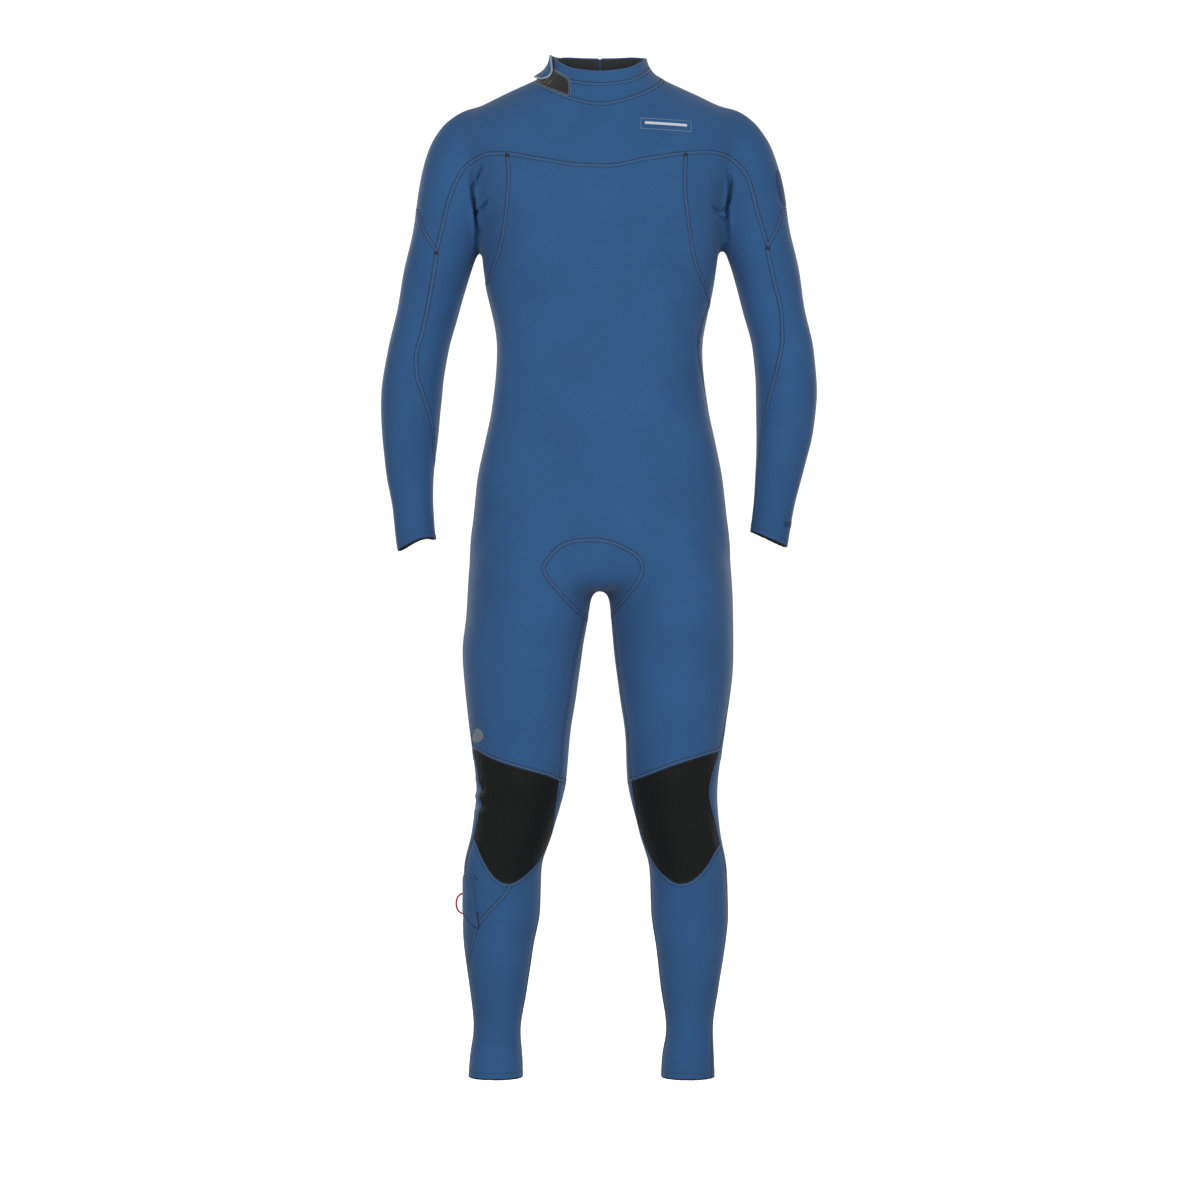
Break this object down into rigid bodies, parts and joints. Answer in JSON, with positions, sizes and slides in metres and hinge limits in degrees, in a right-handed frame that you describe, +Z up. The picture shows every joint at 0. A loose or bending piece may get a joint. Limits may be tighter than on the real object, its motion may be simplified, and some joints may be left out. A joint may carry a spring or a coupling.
{
  "type": "wetsuit",
  "caption": "Full-length back-zip wetsuit in its worn shape, with panelled neoprene, a hook-and-loop collar tab, knee pads and a calf key pocket.",
  "frame": {"origin": "inside the suit, midway between the shoulders at the base of the neck", "axes": "+X to the wearer's left, +Y behind the wearer, +Z up along the body"},
  "size_m": [0.5502, 0.222, 1.3022],
  "materials": {
    "neoprene": "knitted nylon jersey over neoprene, mid blue",
    "knee_rubber": "ribbed matt black",
    "black_fabric": "woven black",
    "hook_loop": "hook and loop pile",
    "zip_plastic": "moulded satin black",
    "zip_metal": "satin",
    "red_cord": "braided"
  },
  "bodies": {
    "suit": {"collar_upper_band": "neoprene", "collar_lower_band": "neoprene", "shoulder_yoke": "neoprene", "outer_sleeve_right": "neoprene", "outer_sleeve_left": "neoprene", "underarm_panel_right": "neoprene", "underarm_panel_left": "neoprene", "crotch_gusset": "neoprene", "front_body_panel": "neoprene", "seat_panel": "neoprene", "shin_panel_right": "neoprene", "shin_panel_left": "neoprene", "back_panel_right": "neoprene", "back_panel_left": "neoprene", "rear_thigh_panel_right": "neoprene", "rear_thigh_panel_left": "neoprene", "calf_panel_right": "neoprene", "calf_panel_left": "neoprene", "zip_barrier_flap": "neoprene", "knee_pad_right": "knee_rubber", "knee_pad_left": "knee_rubber", "wrist_hem_right": "black_fabric", "wrist_hem_left": "black_fabric", "ankle_hem_right": "black_fabric", "ankle_hem_left": "black_fabric", "zip_tape_right": "black_fabric", "zip_tape_left": "black_fabric", "key_pocket_lining": "black_fabric", "collar_loop_patch": "hook_loop", "zip_teeth_right": "zip_plastic", "zip_teeth_left": "zip_plastic", "zip_top_stop": "zip_plastic", "zip_bottom_stop": "zip_plastic", "key_loop": "red_cord", "pocket_panel_right": "neoprene"},
    "slider": {"zip_slider": "zip_metal"},
    "puller": {"zip_puller": "zip_metal"},
    "tab": {"collar_tab": "neoprene", "tab_hook_pad": "hook_loop"},
    "pocket_flap": {"key_pocket_flap": "neoprene"}
  },
  "joints": [
    {"name": "zip_slide", "type": "slide", "parent": "suit", "child": "slider", "axis": [0, 0, -1], "range_m": [0, 0.378]},
    {"name": "puller_swing", "type": "hinge", "parent": "slider", "child": "puller", "pos_m": [0, 0.0854, 0.0066], "axis": [1, 0, 0], "range_deg": [0, 150]},
    {"name": "tab_peel", "type": "hinge", "parent": "suit", "child": "tab", "pos_m": [0.015, 0.088, 0.043], "axis": [0, 0, -1], "range_deg": [0, 100]},
    {"name": "pocket_flap_lift", "type": "hinge", "parent": "suit", "child": "pocket_flap", "pos_m": [-0.1736, -0.01, -0.985], "axis": [-0.2651, 0.9642, 0], "range_deg": [0, 35], "stiffness_Nm_per_rad": 0.02}
  ]
}
